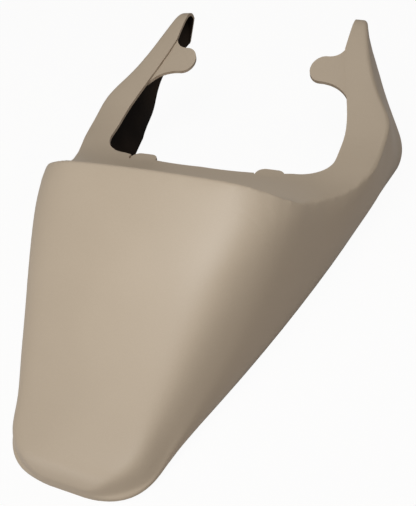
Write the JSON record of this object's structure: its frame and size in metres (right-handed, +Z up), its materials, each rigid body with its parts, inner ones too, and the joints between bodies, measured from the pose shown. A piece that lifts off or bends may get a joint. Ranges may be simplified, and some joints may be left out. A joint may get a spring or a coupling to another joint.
{
  "type": "motorcycle seat cowl",
  "caption": "Wedge-shaped motorcycle tail cowl: a thin open-bottomed shell with a high rear hump and two forward arms around a U-shaped seat opening.",
  "frame": {"origin": "on the plane of symmetry, midway between the tail's end and the tips of the arms, level with the long lower edges", "axes": "+X to the right across the bike, +Y toward the bike's front, +Z up"},
  "size_m": [0.3456, 0.5638, 0.1637],
  "materials": {
    "satin_shell": "satin warm grey paint outside, bare black moulding inside"
  },
  "bodies": {
    "root": {"seat_cowl": "satin_shell"}
  },
  "joints": []
}
